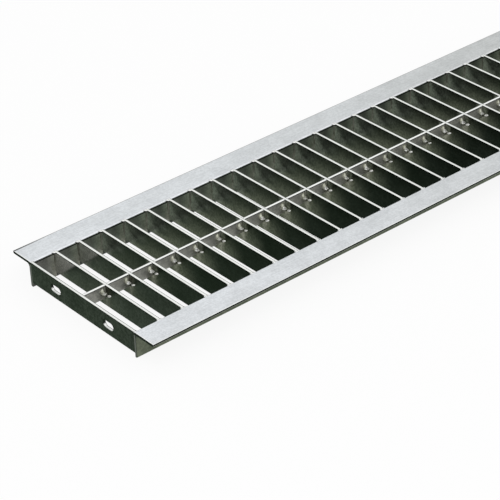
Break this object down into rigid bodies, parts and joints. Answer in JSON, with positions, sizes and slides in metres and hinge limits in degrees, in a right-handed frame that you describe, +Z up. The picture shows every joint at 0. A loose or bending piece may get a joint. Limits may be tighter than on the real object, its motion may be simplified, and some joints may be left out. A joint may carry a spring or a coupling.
{
  "type": "steel grating panel",
  "caption": "Flanged steel channel grating with flat cross bars on edge, short stays along its middle and slotted end plates.",
  "frame": {"origin": "middle of the footprint, level with the feet of the angle legs", "axes": "+X along the panel, +Y across it towards the back angle, +Z up"},
  "size_m": [0.993, 0.234, 0.03],
  "materials": {
    "angle_steel": "matt brushed stainless rolled angle",
    "bar_steel": "satin stainless flat bar with bright cut edges",
    "stay_steel": "satin stainless flat bar",
    "plate_steel": "satin stainless flat bar with punched slots",
    "weld_metal": "stainless weld metal, tinted at its edges"
  },
  "bodies": {
    "root": {"front_angle": "angle_steel", "back_angle": "angle_steel", "left_end_plate": "plate_steel", "right_end_plate": "plate_steel", "cross_bar_01": "bar_steel", "cross_bar_02": "bar_steel", "cross_bar_03": "bar_steel", "cross_bar_04": "bar_steel", "cross_bar_05": "bar_steel", "cross_bar_06": "bar_steel", "cross_bar_07": "bar_steel", "cross_bar_08": "bar_steel", "cross_bar_09": "bar_steel", "cross_bar_10": "bar_steel", "cross_bar_11": "bar_steel", "cross_bar_12": "bar_steel", "cross_bar_13": "bar_steel", "cross_bar_14": "bar_steel", "cross_bar_15": "bar_steel", "cross_bar_16": "bar_steel", "cross_bar_17": "bar_steel", "cross_bar_18": "bar_steel", "cross_bar_19": "bar_steel", "cross_bar_20": "bar_steel", "cross_bar_21": "bar_steel", "cross_bar_22": "bar_steel", "cross_bar_23": "bar_steel", "cross_bar_24": "bar_steel", "cross_bar_25": "bar_steel", "cross_bar_26": "bar_steel", "cross_bar_27": "bar_steel", "cross_bar_28": "bar_steel", "cross_bar_29": "bar_steel", "cross_bar_30": "bar_steel", "cross_bar_31": "bar_steel", "cross_bar_32": "bar_steel", "centre_stays_1": "stay_steel", "centre_stays_2": "stay_steel", "centre_stays_3": "stay_steel"}
  },
  "joints": []
}
